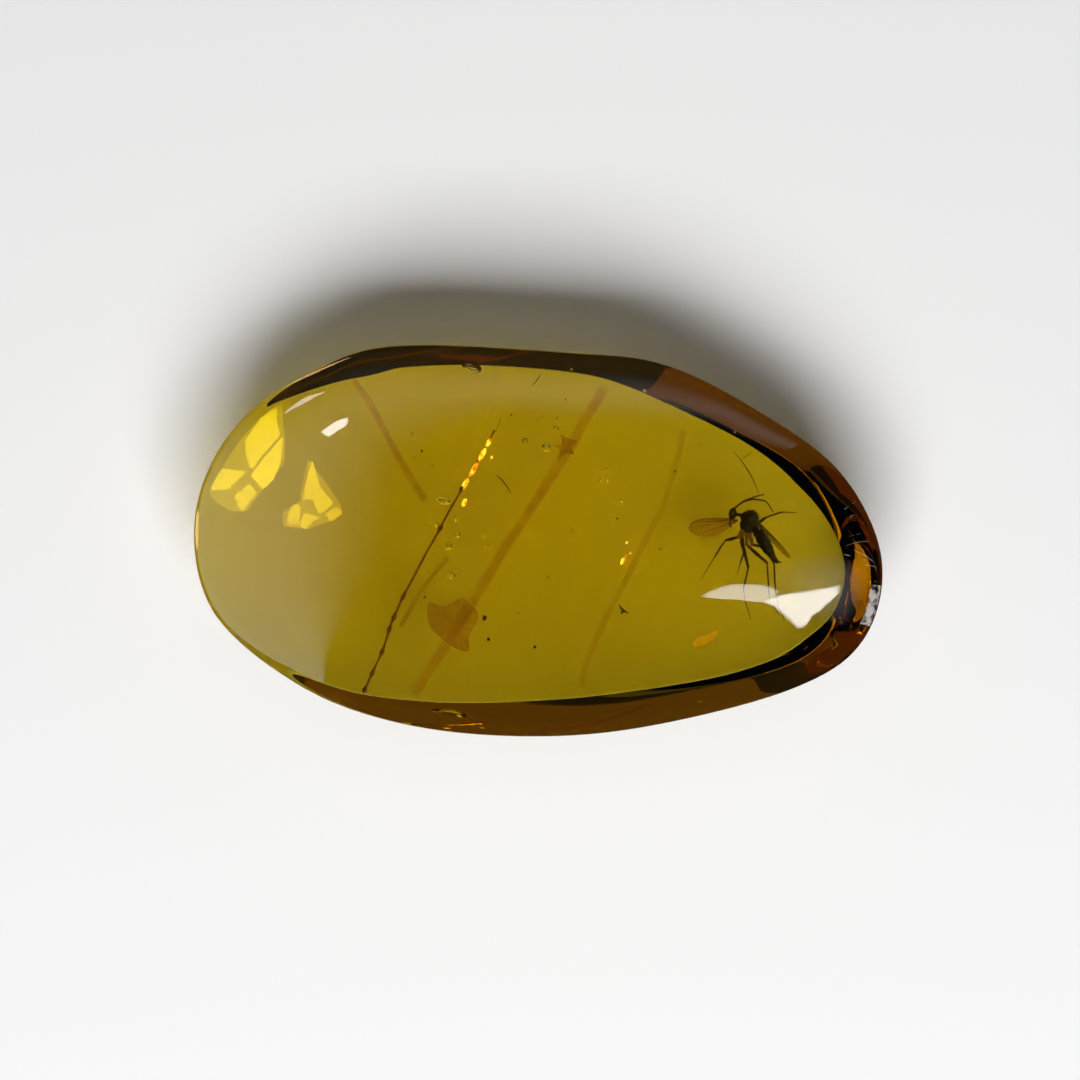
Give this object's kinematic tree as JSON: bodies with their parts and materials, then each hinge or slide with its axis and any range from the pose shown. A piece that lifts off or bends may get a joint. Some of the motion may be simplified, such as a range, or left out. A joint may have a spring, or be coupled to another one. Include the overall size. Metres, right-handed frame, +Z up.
{
  "type": "insect in amber",
  "caption": "Polished egg-shaped pebble of clear golden amber with a flat back and a domed face, holding a dark fungus gnat, a beaded plant thread, a scrap of leaf and three bands of darker resin.",
  "frame": {"origin": "middle of the flat back, at the bottom centre of the bounding box", "axes": "+Z up through the domed face, +X along the pebble towards its blunt end, where the gnat lies"},
  "size_m": [0.028, 0.016, 0.0082],
  "materials": {
    "amber": "polished",
    "gnat": "satin",
    "plant_thread": "matte",
    "leaf_scrap": "matte",
    "flow_band": "satin"
  },
  "bodies": {
    "root": {"amber_lower": "amber", "amber_upper": "amber", "gnat": "gnat", "plant_thread": "plant_thread", "leaf_scrap": "leaf_scrap", "flow_band_main": "flow_band", "flow_band_left": "flow_band", "flow_band_right": "flow_band"}
  },
  "joints": []
}
